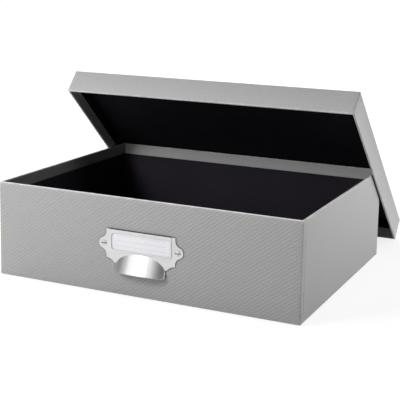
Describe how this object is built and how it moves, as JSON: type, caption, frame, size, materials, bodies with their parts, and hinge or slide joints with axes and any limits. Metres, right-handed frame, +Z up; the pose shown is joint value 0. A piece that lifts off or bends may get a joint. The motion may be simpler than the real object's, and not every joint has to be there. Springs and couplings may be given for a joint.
{
  "type": "document storage box with lid",
  "caption": "Rectangular covered-board document box with a lift-off lid leaning open on its rear wall, a stamped label holder and a half-moon finger pull on the front.",
  "frame": {"origin": "centre of the tray's underside, where it stands on the table", "axes": "+X along the front to the right seen from the front, +Y from the front to the back, +Z up"},
  "size_m": [0.3414, 0.3668, 0.2014],
  "materials": {
    "greyboard": "raw, hidden under paper",
    "gummed_paper": "matt brown gummed strip",
    "cover_paper": "matt light grey with a fine diagonal rib",
    "base_paper": "matt grey",
    "lining_paper": "matt black",
    "holder_metal": "satin, pale nickel",
    "pull_metal": "brushed from top to bottom, bright",
    "screw_metal": "satin, pale nickel",
    "card": "smooth bluish white card"
  },
  "bodies": {
    "tray": {"tray_base_board": "greyboard", "tray_front_board": "greyboard", "tray_rear_board": "greyboard", "tray_left_board": "greyboard", "tray_right_board": "greyboard", "tray_corner_stays": "gummed_paper", "tray_cover_wrap": "cover_paper", "tray_base_paper": "base_paper", "tray_wall_lining": "lining_paper", "tray_floor_lining": "lining_paper", "label_holder_plate": "holder_metal", "cup_pull": "pull_metal", "holder_screws": "screw_metal", "holder_sleeve_nuts": "screw_metal"},
    "lid": {"lid_top_board": "greyboard", "lid_front_board": "greyboard", "lid_rear_board": "greyboard", "lid_left_board": "greyboard", "lid_right_board": "greyboard", "lid_corner_stays": "gummed_paper", "lid_cover_wrap": "cover_paper", "lid_wall_lining": "lining_paper", "lid_panel_lining": "lining_paper"},
    "card": {"label_card": "card"}
  },
  "joints": [
    {"name": "lid_lift", "type": "slide", "parent": "tray", "child": "lid", "axis": [0, 0, 1], "range_m": [0, 0.15]},
    {"name": "card_slide", "type": "slide", "parent": "tray", "child": "card", "axis": [0, 0, 1], "range_m": [0, 0.03]}
  ]
}
